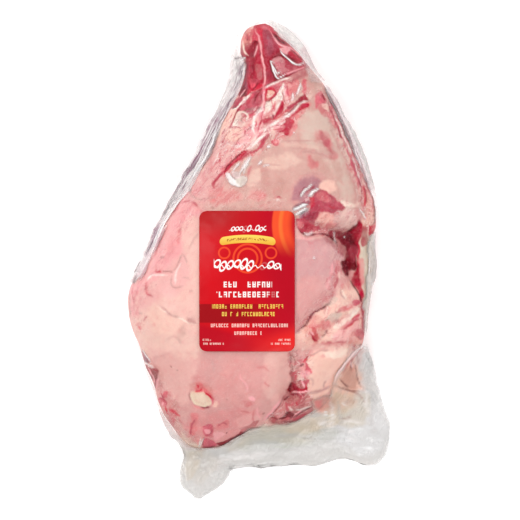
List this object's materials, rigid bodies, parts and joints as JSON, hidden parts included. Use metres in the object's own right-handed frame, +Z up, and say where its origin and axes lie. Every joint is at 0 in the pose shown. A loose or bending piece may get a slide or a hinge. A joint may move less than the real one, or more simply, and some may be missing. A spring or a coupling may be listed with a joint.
{
  "type": "vacuum-packed raw leg of lamb",
  "caption": "Raw leg of lamb with its shank, vacuum-packed in a clear film bag with a skirt and side webs, lying on its back with a red rounded-corner label on top.",
  "frame": {"origin": "centre of the pack's box, on the plane that it rests on", "axes": "+Y along the leg towards the shank, +X to the right seen from above, +Z up through the label"},
  "size_m": [0.2473, 0.447, 0.0859],
  "materials": {
    "lamb": "wet raw lamb under tight clear film: pink muscle, cream fat, red and mauve patches",
    "film": "clear shrink film, glossy, a little milky where two layers lie on each other",
    "label": "coated paper, red with darker slanting fields and an orange corner"
  },
  "bodies": {
    "root": {"sealed_bag": "lamb", "label": "label"}
  },
  "joints": []
}
